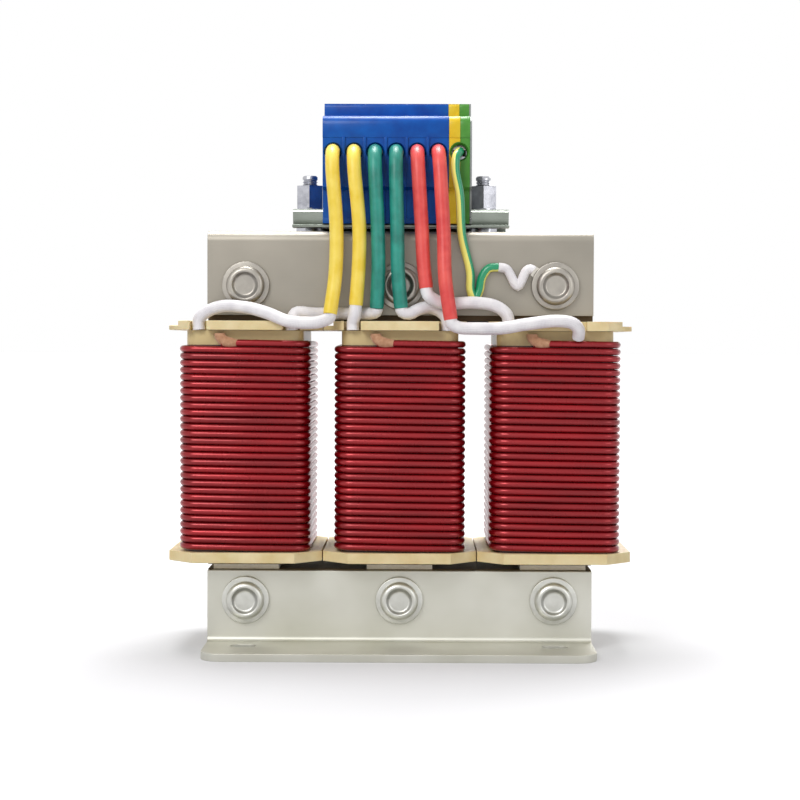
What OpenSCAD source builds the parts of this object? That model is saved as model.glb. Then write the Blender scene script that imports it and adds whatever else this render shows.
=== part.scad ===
// Three-phase iron-core reactor on two sheet steel feet, with a terminal strip on its top channel.
// The origin is the centre of the footprint on the mounting plane, +Z is up and the leads face -Y.

/* [Core] */
// Overall width of the three-legged core
core_w = 150; // [146:1:162]
// Width of each leg
leg_w = 30; // [27:0.5:32]
// Height of each yoke
yoke_h = 30; // [28:1:36]
// Depth of the lamination stack
stack_d = 42; // [38:1:50]
// Height of the legs between the air gap and the upper yoke
leg_h = 95.5; // [90:0.5:110]
// Thickness of the air gap spacers
gap_t = 1.8; // [1:0.1:3]
// Height of the lower yoke above the mounting plane
core_lift = 1; // [0.6:0.1:3]

/* [Bobbins] */
// Clearance between a leg and the bore of its bobbin
bobbin_fit = 0.4; // [0.2:0.05:0.6]
// Thickness of the bobbin tube
bobbin_wall = 1.6; // [1.2:0.1:2]
// Gap between the flanges of neighbouring bobbins
flange_gap = 0.5; // [0.3:0.1:2]
// How far a flange stands out past the outer layer of the winding
flange_rim = 1.4; // [1:0.1:3]
// Thickness of the lower flange
lower_flange_t = 4; // [3:0.5:6]
// Thickness of the upper flange
upper_flange_t = 1.8; // [1.4:0.1:2.4]
// Height of the ledges that lead the sleeves along the upper flange
ledge_h = 1.8; // [1:0.1:2]
// Cut of the flange corners
flange_cut = 10; // [6:0.5:12]
// Height of the lower flange above the lower yoke
bobbin_lift = 3.7; // [2:0.1:5]

/* [Windings] */
// Thickness of one turn of the outer layer
turn_d = 2.9; // [2.4:0.05:2.95]
// Number of turns that show
turns = 24; // [16:1:24]
// Gap between the windings of neighbouring legs
coil_gap = 8.8; // [6:0.1:12]
// Build of the inner layers at the front and back of the bobbin
inner_build_y = 7.4; // [5:0.1:9]
// How far the long side of a turn bows out
turn_bow = 0.8; // [0:0.1:1]

/* [Brackets] */
// Thickness of the sheet steel of the feet and the channel
sheet_t = 3; // [2:0.5:4]
// Length of the foot flange in front of the upright plate
foot_out = 30; // [22:1:36]
// Radius of the foot corners
foot_corner_r = 8; // [4:0.5:12]
// Outer radius of the bends of the channel
bend_r = 4; // [3.5:0.5:5]
// Outer radius of the bend of the feet
heel_r = 5; // [4.5:0.5:7]
// How far the foot plate stays below the top of the lower yoke
foot_edge_inset = 0.3; // [0.1:0.1:2]
// How far the channel edge stays above the bottom of the upper yoke
channel_edge_inset = 2; // [1:0.5:4]
// Free height between the upper yoke and the channel
channel_headroom = 1.7; // [1:0.1:4]
// Width of the mounting slots
slot_w = 6.4; // [5.2:0.1:7]
// Length of the mounting slots
slot_l = 10; // [8:0.5:14]
// Distance of the slots from the face of the upright plate
slot_out = 11; // [9:0.5:15]

/* [Clamp bolts] */
// Diameter of the clamp bolts
bolt_d = 8; // [6:0.5:8.5]
// Diameter of the flat round bolt head
bolt_head_d = 14.8; // [13:0.1:16]
// Height of the bolt head
bolt_head_h = 3.2; // [2.5:0.1:4]
// Diameter of the washers
washer_d = 18.5; // [17:0.5:20]
// Thickness of the washers
washer_t = 1.6; // [1.2:0.1:2]
// Height of the lower bolts above the mounting plane
lower_bolt_z = 19.3; // [18:0.1:20.5]
// Distance of the upper bolts above the bottom of the upper yoke
upper_bolt_rise = 13.5; // [12.5:0.1:15]
// Wall of the insulating sleeves
bolt_sleeve_t = 1; // [0.6:0.1:1.4]

/* [Rail] */
// Length of the rail
rail_l = 85; // [82:1:100]
// Overall width of the rail
rail_w = 35; // [34:0.5:36]
// Height of the rail
rail_h = 7.5; // [7:0.1:9]
// Width of the rail crown
rail_crown_w = 27; // [26:0.5:28]
// Undercut of the rail walls on each side
rail_undercut = 1.2; // [1:0.1:1.4]
// Sheet thickness of the rail
rail_t = 1.1; // [0.9:0.1:1.4]
// Height of the rail lips above the channel
rail_lift = 1.8; // [1.6:0.1:4]
// Diameter of the rail studs
stud_d = 6; // [5:0.5:6]
// Distance between the rail studs
stud_pitch = 69.4; // [69.2:0.1:70]
// Width of the rail nuts across flats
rail_nut_w = 10; // [9:0.5:10]
// Height of the rail nuts
rail_nut_h = 9; // [5:0.5:12]
// How far the studs stand out of the nuts
stud_proud = 4; // [2:0.5:8]

/* [Terminals] */
// Pitch of the terminals along the rail
term_pitch = 8.2; // [8.2:0.05:8.3]
// Number of phase terminals
phase_count = 6; // [6]
// Shift of the strip from the middle of the rail
strip_shift = -1.8; // [-2:0.1:0]
// Depth of a terminal across the rail
term_l = 42.5; // [42:0.5:46]
// Height of a terminal above the rail crown
term_h = 42.2; // [42:0.1:44]
// Height of the wire entry above the rail crown
entry_h = 21.7; // [21:0.1:22]
// Radius of the wire entry
entry_r = 2.9; // [2.8:0.05:2.95]
// Distance of the clamps from the middle of the terminal
clamp_y = 12.5; // [12:0.1:12.8]
// Diameter of the clamp screws
screw_d = 4; // [3.6:0.1:4]
// Pitch of the screw thread
screw_pitch = 0.7; // [0.7:0.05:0.7]
// Turns from the clamped to the open position
screw_turns = 5; // [4:0.5:5]

/* [Leads] */
// Diameter of the coloured sleeves
phase_sleeve_d = 5.4; // [5:0.1:5.4]
// Diameter of the white sleeves
white_sleeve_d = 4.8; // [4.4:0.1:4.8]
// Diameter of the earth lead
earth_d = 3; // [2.6:0.1:3]
// Diameter of the white sleeve at the end of the earth lead
earth_sleeve_d = 3.6; // [3.2:0.1:3.6]
// Diameter of the bare conductors
conductor_d = 2.5; // [2:0.1:2.5]

/* [Hidden] */
$fn = 48;
over = 1;

leg_pitch = (core_w - leg_w) / 2;
side_names = ["left", "middle", "right"];
side_shares = [-1, 0, 1];
corners = [[1, 1], [-1, 1], [-1, -1], [1, -1]];

// Levels of the core
lower_yoke_top = core_lift + yoke_h;
leg_bottom = lower_yoke_top + gap_t;
upper_yoke_bottom = leg_bottom + leg_h;
core_top = upper_yoke_bottom + yoke_h;
upper_bolt_z = upper_yoke_bottom + upper_bolt_rise;
bolt_levels = [lower_bolt_z, upper_bolt_z];
bolt_clear = 0.2;
core_hole_d = bolt_d + 2 * bolt_sleeve_t + 2 * bolt_clear;
sheet_hole_d = bolt_d + 4 * bolt_clear;
spacer_inset = 2.2;

// Outline of the bobbins and windings, as half sizes around a leg
bore_x = leg_w / 2 + bobbin_fit;
bore_y = stack_d / 2 + bobbin_fit;
tube_x = bore_x + bobbin_wall;
tube_y = bore_y + bobbin_wall;
inner_y = tube_y + inner_build_y;
inner_corner_r = 5;
lay_gap = 0.1;
inner_x = (leg_pitch - coil_gap) / 2 - turn_d - lay_gap;
turn_x = inner_x + lay_gap + turn_d / 2;
turn_y = inner_y + lay_gap + turn_d / 2;
turn_cut = 3.8;
flange_x = (leg_pitch - flange_gap) / 2;
flange_y = turn_y + turn_d / 2 + flange_rim;
flange_bottom = lower_yoke_top + bobbin_lift;
floor_z = flange_bottom + lower_flange_t;
yoke_gap = 0.3;
flange_top = upper_yoke_bottom - yoke_gap - ledge_h;
roof_z = flange_top - upper_flange_t;
ledge_end_inset = 4;
lead_notch_w = 6.6;
lead_notch_y = 26.6;
// Places of the lead notches of each bobbin, measured from its leg
lead_notches = [[-17.5, 18.3], [-18.3, 18.3], [-18.3, 8.3]];
open_notch_y = 30.4;

// Path of the outer layer
pocket_d = turn_d + 0.4;
pocket_floor_t = 1.3;
elbow = 1.2;
first_turn_z = floor_z + turn_d / 2 + 0.2;
last_turn_z = roof_z - turn_d - elbow;
end_turn_x = 8.7;
turn_pitch = (last_turn_z - first_turn_z) / (turns - 0.5);
stations = 10;
turn_sides = 6;

// Brackets
plate_y = stack_d / 2;
face_y = plate_y + sheet_t;
foot_plate_top = lower_yoke_top - foot_edge_inset;
foot_front = face_y + foot_out;
inner_bend_r = max(bend_r - sheet_t, bend_r / 4);
channel_bottom = upper_yoke_bottom + channel_edge_inset;
channel_top = core_top + channel_headroom + sheet_t;
slot_y = face_y + slot_out;

// Clamp bolts
head_edge = 0.6;
nut_w = 1.625 * bolt_d;
nut_h = 0.8 * bolt_d;
thread_clear = 0.05;
bolt_proud = 2;
lug_t = 0.8;
lug_column = 1;

// Rail
rail_bottom = channel_top + rail_lift;
crown_z = rail_bottom + rail_h;
rail_waist_w = rail_crown_w - 2 * rail_undercut;
crown_bend = 1.2;
stud_hole_d = stud_d + 0.4;
rail_spacer_d = 11;
rail_washer_t = 1;
rail_washer_d = 10.4;
stud_head_d = 8.2;
stud_head_h = 1.2;

// Terminals
strip_gap = 0.1;
body_w = term_pitch - strip_gap;
term_count = phase_count + 1;
term_half = term_l / 2;
wire_z = crown_z + entry_h;
shell_t = 0.7;
slide_gap = 0.2;
cage_w = body_w - 2 * shell_t - 2 * slide_gap;
cage_l = 6;
cage_side_t = 0.5;
cage_floor_t = 1.2;
cage_roof_t = 2.2;
bar_gap = 0.15;
bar_t = 1.4;
bar_w = cage_w - 2 * cage_side_t - 2 * bar_gap;
bar_bottom = wire_z + conductor_d / 2;
bar_top = bar_bottom + bar_t;
travel = screw_turns * screw_pitch;
grip_gap = 0.05;
cage_inner_bottom = wire_z - conductor_d / 2 - grip_gap;
cage_inner_top = bar_top + travel + slide_gap;
cage_bottom = cage_inner_bottom - cage_floor_t;
cage_top = cage_inner_top + cage_roof_t;
pocket_bottom = cage_bottom - travel - slide_gap;
pocket_top = cage_top + slide_gap;
neck_t = 0.8;
head_z = pocket_top + neck_t;
screw_head_h = 2;
screw_head_d = 1.45 * screw_d;
screw_fit = 0.09;
screw_slot_w = 0.9;
screw_slot_t = 0.8;
mouth_r = entry_r + 0.7;
mouth_t = 1.6;
lip_gap = 0.4;
crown_gap = 0.1;
side_gap = 0.25;
foot_hook = 0.75;
foot_h = 1.8;
foot_step = 0.6;
end_plate_t = 0.7;
collar_r = entry_r + 0.9;
collar_gap = 0.05;
split_x = 0.3;
post_w = 4;
post_l = 5;
// Outline of a terminal from its top centre to its lower edge, in shares of its half depth and height
term_outline_shares = [
    [0, 1], [0.28, 1], [0.28, 0.885], [0.36, 0.845], [0.8, 0.845],
    [0.95, 0.8], [1, 0.75], [1, 0.19], [0.86, 0.165]
];
waist_share = 0.86;

// Leads: points of each route, from the terminal down to the winding
sleeve_sides = 10;
thin_sides = 8;
yellow_routes = [
    [[-26.4, -16, 194], [-26.4, -23, 194], [-26.4, -28, 191.5], [-26.2, -30.3, 186],
     [-24.6, -31, 164], [-24.9, -32, 146], [-26.8, -34.2, 130.6]],
    [[-18.2, -16, 194], [-18.2, -23, 194], [-18.1, -28, 191.5], [-17.8, -30.3, 186],
     [-15.8, -31.2, 164], [-16, -32, 148], [-17, -32.4, 134]]
];
green_routes = [
    [[-10, -16, 194], [-10, -23, 194], [-10, -28, 191.5], [-9.8, -30.3, 186],
     [-8.7, -31.4, 164], [-8.4, -32, 148], [-9, -31, 133]],
    [[-1.8, -16, 194], [-1.8, -23, 194], [-1.8, -28, 191.5], [-1.8, -30.3, 186],
     [-1.2, -32, 164], [-0.8, -32.6, 146], [0.4, -32.4, 133]]
];
red_routes = [
    [[6.4, -16, 194], [6.4, -23, 194], [6.5, -28, 191.5], [6.8, -30.3, 186],
     [8.2, -31.4, 164], [8.9, -32.4, 151], [10, -33.2, 140.6]],
    [[14.6, -16, 194], [14.6, -23, 194], [14.8, -28, 191.5], [15.2, -30.6, 186],
     [16.6, -33.6, 162], [17.2, -36.6, 144], [19.4, -37.2, 128.6]]
];
white_routes = [
    [[-26.8, -34.2, 130.6], [-27, -34.4, 129.3], [-30.6, -36.4, 127.6], [-36, -37.2, 127.2],
     [-43, -37.1, 127.9], [-51, -35.2, 131], [-60, -32, 133.2], [-69, -31.2, 133.4],
     [-75, -31, 131], [-77.5, -30.3, 128.4], [-77.5, -30.3, 124.5]],
    [[-17, -32.4, 134], [-17.4, -32.5, 130.4], [-18.1, -31.2, 127.2], [-18.1, -31.2, 124.5]],
    [[-9, -31, 133], [-9.3, -30.6, 131.6], [-12.5, -28, 130.9], [-19, -26.7, 130.9], [-33, -26.7, 130.9],
     [-40.4, -28.2, 131], [-41.7, -29.4, 127.4], [-41.7, -29.4, 124.5]],
    [[0.4, -32.4, 133], [0.8, -32.3, 131.6], [3.6, -31.6, 130.9], [7.2, -30.6, 132.6], [11, -28.8, 133.4],
     [14.8, -27.6, 132.2], [17.6, -28.4, 129.8], [18.3, -29.4, 127], [18.3, -29.4, 124.5]],
    [[10, -33.2, 140.6], [10.6, -33.6, 138.2], [15, -32.2, 135.4], [21, -30.9, 135], [29, -30.7, 135.2],
     [37, -30.5, 133.8], [41.2, -29.8, 130.4], [41.7, -29.4, 127.4], [41.7, -29.4, 124.5]],
    [[19.4, -37.2, 128.6], [19.7, -37.4, 127.1], [22.4, -37.4, 125.6], [28.4, -37.4, 125.2],
     [39, -37.4, 125.4], [47.4, -37.4, 126.8], [60, -37.4, 128.2], [65.6, -37.4, 127.4],
     [68.2, -35.8, 125], [68.3, -33.4, 121.9]]
];
earth_route = [
    [22.8, -16, 194], [22.8, -22, 194], [21.4, -26, 191.6], [21.2, -27, 186], [22.8, -27.2, 177],
    [23.8, -27, 161], [27, -27, 147], [27.2, -27, 140], [28.8, -26.4, 136.6], [30.6, -26, 140],
    [31.6, -26, 145], [34.2, -26, 148.6], [38, -26, 149]
];
earth_sleeve_route = [
    [38, -26, 149], [41, -26, 148.4], [45.4, -26, 141.6], [48.8, -26, 147.8], [50.4, -26, 148.5],
    [51.4, -26, 147.8]
];
tip_end_y = 9.4;
lug_ring_d = 13;
lug_tail_w = 4;
lug_tail_l = 10.4;
lug_turn = 145;

column_names = [for (i = [1 : term_count]) str(i)];

function leg_at(side) = side_shares[side] * leg_pitch;
function term_at(i) = strip_shift + (i - (term_count - 1) / 2) * term_pitch;
function unit(v) = v / norm(v);

// Heading of a path at one of its points
function heading(path, i) =
    let (last = len(path) - 1)
    let (a = max(min(i, last), 1), b = min(i, last - 1))
    unit(unit(path[a] - path[a - 1]) + unit(path[b + 1] - path[b]));

function across(n, t) = unit(n - (n * t) * t);

// A normal for each point of a path, carried along with as little twist as can be
function normals(path, first) = [
    for (i = 0, n = across(first, heading(path, 0)); i < len(path); i = i + 1, n = across(n, heading(path, i))) n
];

module tube(path, d, sides, first = [1, 0, 0]) {
    last = len(path) - 1;
    around = normals(path, first);
    points = [
        for (i = [0 : last]) for (j = [0 : sides - 1])
            let (t = heading(path, i), u = around[i], w = cross(t, u), a = 360 * j / sides)
            path[i] + d / 2 * (cos(a) * u + sin(a) * w)
    ];
    walls = [
        for (i = [0 : last - 1]) for (j = [0 : sides - 1])
            let (k = (j + 1) % sides, a = i * sides, b = a + sides)
            each [[a + j, b + k, a + k], [a + j, b + j, b + k]]
    ];
    start = [for (j = [1 : sides - 2]) [0, j, j + 1]];
    end = [for (j = [1 : sides - 2]) [last * sides, last * sides + j + 1, last * sides + j]];
    polyhedron(points, concat(walls, start, end));
}

function to_segment(p, a, b) =
    let (d = b - a, t = max(0, min(1, (p - a) * d / (d * d))))
    norm(p - a - t * d);

// Least clear distance of a tube to itself, past the stations that follow each other in one turn
function least_gap(path, d, apart) = min([
    for (i = [0 : len(path) - 1]) for (j = [i + apart : 1 : len(path) - 2])
        to_segment(path[i], path[j], path[j + 1])
]) - d;

module block(size, at) {
    translate(at - [size[0] / 2, size[1] / 2, 0])
        cube(size);
}

// A bar along Y between two depths
module rod(d, at, from_y, to_y) {
    translate([at[0], from_y, at[1]])
        rotate([-90, 0, 0])
            cylinder(d = d, h = to_y - from_y);
}

module at_bolts() {
    for (level = bolt_levels, side = [0 : 2])
        translate([leg_at(side), 0, level])
            children();
}

module bolt_holes(d) {
    for (level = bolt_levels, side = [0 : 2])
        rod(d, [leg_at(side), level], -face_y - over, face_y + over);
}

// Shape seen from the end of the core, drawn out along X
module along_x(length) {
    translate([-length / 2, 0, 0])
        rotate([90, 0, 90])
            linear_extrude(length)
                children();
}

module core_e_stack() {
    color("saddlebrown")
        difference() {
            union() {
                block([core_w, stack_d, yoke_h], [0, 0, upper_yoke_bottom]);
                for (side = [0 : 2])
                    block([leg_w, stack_d, leg_h + over], [leg_at(side), 0, leg_bottom]);
            }
            bolt_holes(core_hole_d);
        }
}

module core_yoke_stack() {
    color("saddlebrown")
        difference() {
            block([core_w, stack_d, yoke_h], [0, 0, core_lift]);
            bolt_holes(core_hole_d);
        }
}

module gap_spacers() {
    color("white")
        for (side = [0 : 2])
            block([leg_w - 2 * spacer_inset, stack_d, gap_t], [leg_at(side), 0, lower_yoke_top]);
}

module flange_outline() {
    polygon([
        for (corner = corners)
            let (far = [corner[0] * flange_x, corner[1] * (flange_y - flange_cut)])
            let (near = [corner[0] * (flange_x - flange_cut), corner[1] * flange_y])
            each (corner[0] * corner[1] > 0 ? [far, near] : [near, far])
    ]);
}

module bobbin(side) {
    color("wheat")
        translate([leg_at(side), 0, 0])
            difference() {
                union() {
                    block([2 * tube_x, 2 * tube_y, roof_z - floor_z], [0, 0, floor_z]);
                    translate([0, 0, flange_bottom])
                        linear_extrude(lower_flange_t)
                            flange_outline();
                    translate([0, 0, roof_z])
                        linear_extrude(upper_flange_t)
                            flange_outline();
                    ledges();
                }
                block([2 * bore_x, 2 * bore_y, core_top], [0, 0, 0]);
                translate([0, turn_y, flange_bottom + pocket_floor_t])
                    cylinder(d = pocket_d, h = lower_flange_t);
                lead_notch(lead_notches[side][0], lead_notch_y);
                lead_notch(lead_notches[side][1], side == 2 ? open_notch_y : lead_notch_y);
            }
}

module ledges() {
    intersection() {
        translate([0, 0, flange_top])
            linear_extrude(ledge_h)
                flange_outline();
        for (end = [-1, 1])
            block([2 * (flange_x - ledge_end_inset), flange_y - bore_y, ledge_h],
                  [0, end * (flange_y + bore_y) / 2, flange_top]);
    }
}

module lead_notch(x, back_y) {
    depth = flange_y + over - back_y;
    block([lead_notch_w, depth, upper_flange_t + ledge_h + 2 * over], [x, -back_y - depth / 2, roof_z - over]);
}

module rounded_box(half_x, half_y, r, h) {
    for (sx = [-1, 1], sy = [-1, 1])
        translate([sx * (half_x - r), sy * (half_y - r), 0])
            cylinder(r = r, h = h);
    block([2 * half_x, 2 * (half_y - r), h], [0, 0, 0]);
    block([2 * (half_x - r), 2 * half_y, h], [0, 0, 0]);
}

module inner_windings() {
    color("tan")
        for (side = [0 : 2])
            translate([leg_at(side), 0, floor_z])
                difference() {
                    rounded_box(inner_x, inner_y, inner_corner_r, roof_z - floor_z - lay_gap);
                    block([2 * tube_x, 2 * tube_y, roof_z], [0, 0, -over]);
                }
}

// Stations of one turn in plan, clockwise from the middle of the front
turn_plan = [
    [0, -turn_y - turn_bow], [turn_cut - turn_x, -turn_y], [-turn_x, turn_cut - turn_y],
    [-turn_x, turn_y - turn_cut], [turn_cut - turn_x, turn_y], [0, turn_y + turn_bow],
    [turn_x - turn_cut, turn_y], [turn_x, turn_y - turn_cut],
    [turn_x, turn_cut - turn_y], [turn_x - turn_cut, -turn_y]
];
first_station = stations / 2 + 1;
last_station = stations * turns;
function turn_point(i) =
    let (rise = (i - stations / 2) / stations * turn_pitch)
    [turn_plan[i % stations][0], turn_plan[i % stations][1], first_turn_z + rise];
end_turn_y = -turn_y - turn_bow * (1 - end_turn_x / (turn_x - turn_cut));
winding_path = concat(
    [[0, turn_y, flange_bottom + pocket_floor_t], [0, turn_y, first_turn_z - elbow], [elbow, turn_y, first_turn_z]],
    [for (i = [first_station : last_station]) turn_point(i)],
    [[elbow - end_turn_x, end_turn_y, last_turn_z], [-end_turn_x, end_turn_y, last_turn_z + elbow],
     [-end_turn_x, end_turn_y, roof_z]]
);

module outer_winding(side) {
    echo(least_gap_of_winding = least_gap(winding_path, turn_d, stations / 2));
    color("firebrick")
        translate([leg_at(side), 0, 0])
            tube(winding_path, turn_d, turn_sides);
}

module channel_outline() {
    difference() {
        union() {
            translate([-face_y, channel_bottom])
                square([2 * face_y, channel_top - bend_r - channel_bottom]);
            translate([bend_r - face_y, channel_bottom])
                square([2 * (face_y - bend_r), channel_top - channel_bottom]);
            for (end = [-1, 1])
                translate([end * (face_y - bend_r), channel_top - bend_r])
                    circle(bend_r);
        }
        translate([-plate_y, channel_bottom - over])
            square([2 * plate_y, channel_top - sheet_t - inner_bend_r - channel_bottom + over]);
        translate([inner_bend_r - plate_y, channel_bottom])
            square([2 * (plate_y - inner_bend_r), channel_top - sheet_t - channel_bottom]);
        for (end = [-1, 1])
            translate([end * (plate_y - inner_bend_r), channel_top - sheet_t - inner_bend_r])
                circle(inner_bend_r);
    }
}

module top_channel() {
    color("silver")
        difference() {
            along_x(core_w)
                channel_outline();
            bolt_holes(sheet_hole_d);
            at_studs() {
                translate([0, 0, core_top])
                    cylinder(d = stud_d + 2 * thread_clear, h = channel_top);
                translate([0, 0, channel_top - sheet_t - over])
                    cylinder(d = stud_head_d + 2 * thread_clear, h = stud_head_h + over);
            }
        }
}

// The rear foot seen from the end: an upright plate, a round heel and a flange
module foot_outline() {
    heel_y = plate_y + heel_r;
    difference() {
        union() {
            translate([plate_y, heel_r])
                square([sheet_t, foot_plate_top - heel_r]);
            translate([heel_y, 0])
                square([foot_front - heel_y, sheet_t]);
            translate([heel_y, heel_r])
                circle(heel_r);
        }
        translate([heel_y, heel_r])
            circle(heel_r - sheet_t);
        translate([face_y, heel_r])
            square([2 * heel_r, 2 * heel_r]);
        translate([heel_y, sheet_t])
            square([2 * heel_r, 2 * heel_r]);
    }
}

module foot_corner() {
    difference() {
        translate([0, 0, -over])
            cube([foot_corner_r + over, foot_corner_r + over, sheet_t + 2 * over]);
        translate([0, 0, -2 * over])
            cylinder(r = foot_corner_r, h = sheet_t + 4 * over);
    }
}

module foot() {
    difference() {
        along_x(core_w)
            foot_outline();
        bolt_holes(sheet_hole_d);
        for (end = [-1, 1]) {
            translate([end * (core_w / 2 - foot_corner_r), foot_front - foot_corner_r, 0])
                mirror([end < 0 ? 1 : 0, 0, 0])
                    foot_corner();
            for (x = [-1, 1])
                translate([end * leg_pitch + x * (slot_l - slot_w) / 2, slot_y, -over])
                    cylinder(d = slot_w, h = sheet_t + 2 * over);
            block([slot_l - slot_w, slot_w, sheet_t + 2 * over], [end * leg_pitch, slot_y, -over]);
        }
    }
}

module rear_foot() {
    color("gainsboro")
        foot();
}

module front_foot() {
    color("gainsboro")
        mirror([0, 1, 0])
            foot();
}

// The earth lug lies under one washer, which stands out by its thickness
function lug_pad(level, side) = level == upper_bolt_z && side == 2 ? lug_t : 0;

module clamp_bolts() {
    color("silver")
        for (level = bolt_levels, side = [0 : 2]) {
            seat = -face_y - washer_t - lug_pad(level, side);
            place = [leg_at(side), level];
            rod(bolt_d, place, seat, face_y + washer_t + nut_h + bolt_proud);
            rod(bolt_head_d, place, seat - bolt_head_h + head_edge, seat);
            translate([place[0], seat - bolt_head_h, place[1]])
                rotate([-90, 0, 0])
                    cylinder(d1 = bolt_head_d - 2 * head_edge, d2 = bolt_head_d, h = head_edge);
        }
}

module clamp_washers() {
    color("silver")
        for (level = bolt_levels, side = [0 : 2])
            for (seat = [-face_y - washer_t - lug_pad(level, side), face_y])
                difference() {
                    rod(washer_d, [leg_at(side), level], seat, seat + washer_t);
                    rod(bolt_d + 2 * bolt_clear, [leg_at(side), level], seat - over, seat + washer_t + over);
                }
}

module clamp_nuts() {
    color("silver")
        at_bolts()
            translate([0, face_y + washer_t, 0])
                rotate([-90, 0, 0])
                    difference() {
                        cylinder(d = nut_w / cos(30), h = nut_h, $fn = 6);
                        translate([0, 0, -over])
                            cylinder(d = bolt_d + 2 * thread_clear, h = nut_h + 2 * over);
                    }
}

module bolt_sleeves() {
    color("ivory")
        for (level = bolt_levels, side = [0 : 2])
            difference() {
                rod(bolt_d + 2 * bolt_sleeve_t + bolt_clear, [leg_at(side), level], -plate_y, plate_y);
                rod(bolt_d + bolt_clear, [leg_at(side), level], -plate_y - over, plate_y + over);
            }
}

module at_studs() {
    for (end = [-1, 1])
        translate([strip_shift + end * stud_pitch / 2, 0, 0])
            children();
}

function rail_side(s) = [
    [s * (rail_waist_w / 2 - rail_t), rail_bottom],
    [s * rail_w / 2, rail_bottom],
    [s * rail_w / 2, rail_bottom + rail_t],
    [s * rail_waist_w / 2, rail_bottom + rail_t],
    [s * rail_crown_w / 2, crown_z - crown_bend],
    [s * (rail_crown_w / 2 - crown_bend), crown_z]
];
function backwards(list) = [for (i = [len(list) - 1 : -1 : 0]) list[i]];

module din_rail() {
    inner_y = rail_crown_w / 2 - rail_t;
    color("lightslategray")
        difference() {
            along_x(rail_l)
                polygon(concat(
                    rail_side(1),
                    backwards(rail_side(-1)),
                    [[rail_t - rail_waist_w / 2, rail_bottom], [-inner_y, crown_z - crown_bend - rail_t],
                     [crown_bend - inner_y, crown_z - rail_t], [inner_y - crown_bend, crown_z - rail_t],
                     [inner_y, crown_z - crown_bend - rail_t]]
                ));
            at_studs()
                translate([0, 0, channel_top])
                    cylinder(d = stud_hole_d, h = crown_z);
        }
}

module rail_studs() {
    foot_z = channel_top - sheet_t;
    color("silver")
        at_studs()
            translate([0, 0, foot_z]) {
                cylinder(d = stud_head_d, h = stud_head_h);
                cylinder(d = stud_d, h = crown_z + rail_washer_t + rail_nut_h + stud_proud - foot_z);
            }
}

module rail_spacers() {
    color("silver")
        at_studs()
            translate([0, 0, channel_top])
                difference() {
                    cylinder(d = rail_spacer_d, h = crown_z - rail_t - channel_top);
                    translate([0, 0, -over])
                        cylinder(d = stud_hole_d, h = crown_z);
                }
}

// High nuts, each with its washer
module rail_nuts() {
    color("silver")
        at_studs()
            translate([0, 0, crown_z]) {
                difference() {
                    cylinder(d = rail_washer_d, h = rail_washer_t);
                    translate([0, 0, -over])
                        cylinder(d = stud_hole_d, h = rail_washer_t + 2 * over);
                }
                translate([0, 0, rail_washer_t])
                    difference() {
                        rotate(30)
                            cylinder(d = rail_nut_w / cos(30), h = rail_nut_h, $fn = 6);
                        translate([0, 0, -over])
                            cylinder(d = stud_d + 2 * thread_clear, h = rail_nut_h + 2 * over);
                    }
            }
}

function term_side(s) = concat(
    [for (p = term_outline_shares) [s * p[0] * term_half, crown_z + p[1] * term_h]],
    [[s * waist_share * term_half, rail_bottom + rail_t + lip_gap + foot_h + foot_step],
     [s * (waist_share * term_half + foot_step), rail_bottom + rail_t + lip_gap + foot_h],
     [s * (waist_share * term_half + foot_step), rail_bottom + rail_t + lip_gap],
     [s * (rail_crown_w / 2 - foot_hook), rail_bottom + rail_t + lip_gap],
     [s * (rail_crown_w / 2 - foot_hook + side_gap), rail_bottom + rail_t + lip_gap + foot_h],
     [s * (rail_crown_w / 2 + side_gap), rail_bottom + rail_t + lip_gap + 2 * foot_h],
     [s * (rail_crown_w / 2 + side_gap), crown_z + crown_gap]]
);

module clamp_cavity(end) {
    translate([shell_t - body_w / 2, end * clamp_y - cage_l / 2 - slide_gap, pocket_bottom])
        cube([body_w, cage_l + 2 * slide_gap, pocket_top - pocket_bottom]);
    translate([0, end * clamp_y, pocket_bottom]) {
        cylinder(d = screw_d + 2 * screw_fit, h = head_z - pocket_bottom + over);
        translate([0, 0, head_z - pocket_bottom])
            cylinder(d = screw_head_d + 2 * screw_fit, h = term_h);
    }
    rod(2 * entry_r, [0, wire_z], end < 0 ? -term_half - over : clamp_y, end < 0 ? -clamp_y : term_half + over);
    translate([0, end * (term_half - mouth_t), wire_z])
        rotate([-90 * end, 0, 0])
            cylinder(r1 = entry_r, r2 = mouth_r, h = mouth_t);
}

// One terminal body, open towards +X where its neighbour or the end plate closes it
module term_body() {
    difference() {
        along_x(body_w)
            polygon(concat(term_side(1), backwards(term_side(-1))));
        for (end = [-1, 1])
            clamp_cavity(end);
        translate([shell_t - body_w / 2, -clamp_y - cage_l / 2, bar_bottom - lay_gap])
            cube([body_w, 2 * clamp_y + cage_l, bar_t + 2 * lay_gap]);
    }
}

module phase_terminals() {
    color("royalblue")
        for (i = [0 : phase_count - 1])
            translate([term_at(i), 0, 0])
                term_body();
}

// The middle of the earth terminal, where a metal post reaches the rail
module post_cavity() {
    translate([shell_t - body_w / 2, -post_l / 2 - slide_gap, crown_z - over])
        cube([body_w, post_l + 2 * slide_gap, bar_bottom - crown_z + over]);
}

module entry_collars(extra) {
    for (end = [-1, 1])
        rod(2 * (collar_r + extra), [0, wire_z], end < 0 ? -term_half - over : clamp_y + cage_l / 2,
            end < 0 ? -clamp_y - cage_l / 2 : term_half + over);
}

module earth_half(from_x, width) {
    translate([from_x, -term_l, 0])
        cube([width, 2 * term_l, crown_z + 2 * term_h]);
}

module earth_terminal_yellow() {
    color("gold")
        translate([term_at(phase_count), 0, 0])
            difference() {
                intersection() {
                    term_body();
                    earth_half(-body_w, body_w + split_x - collar_gap);
                }
                post_cavity();
                entry_collars(collar_gap);
            }
}

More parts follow.
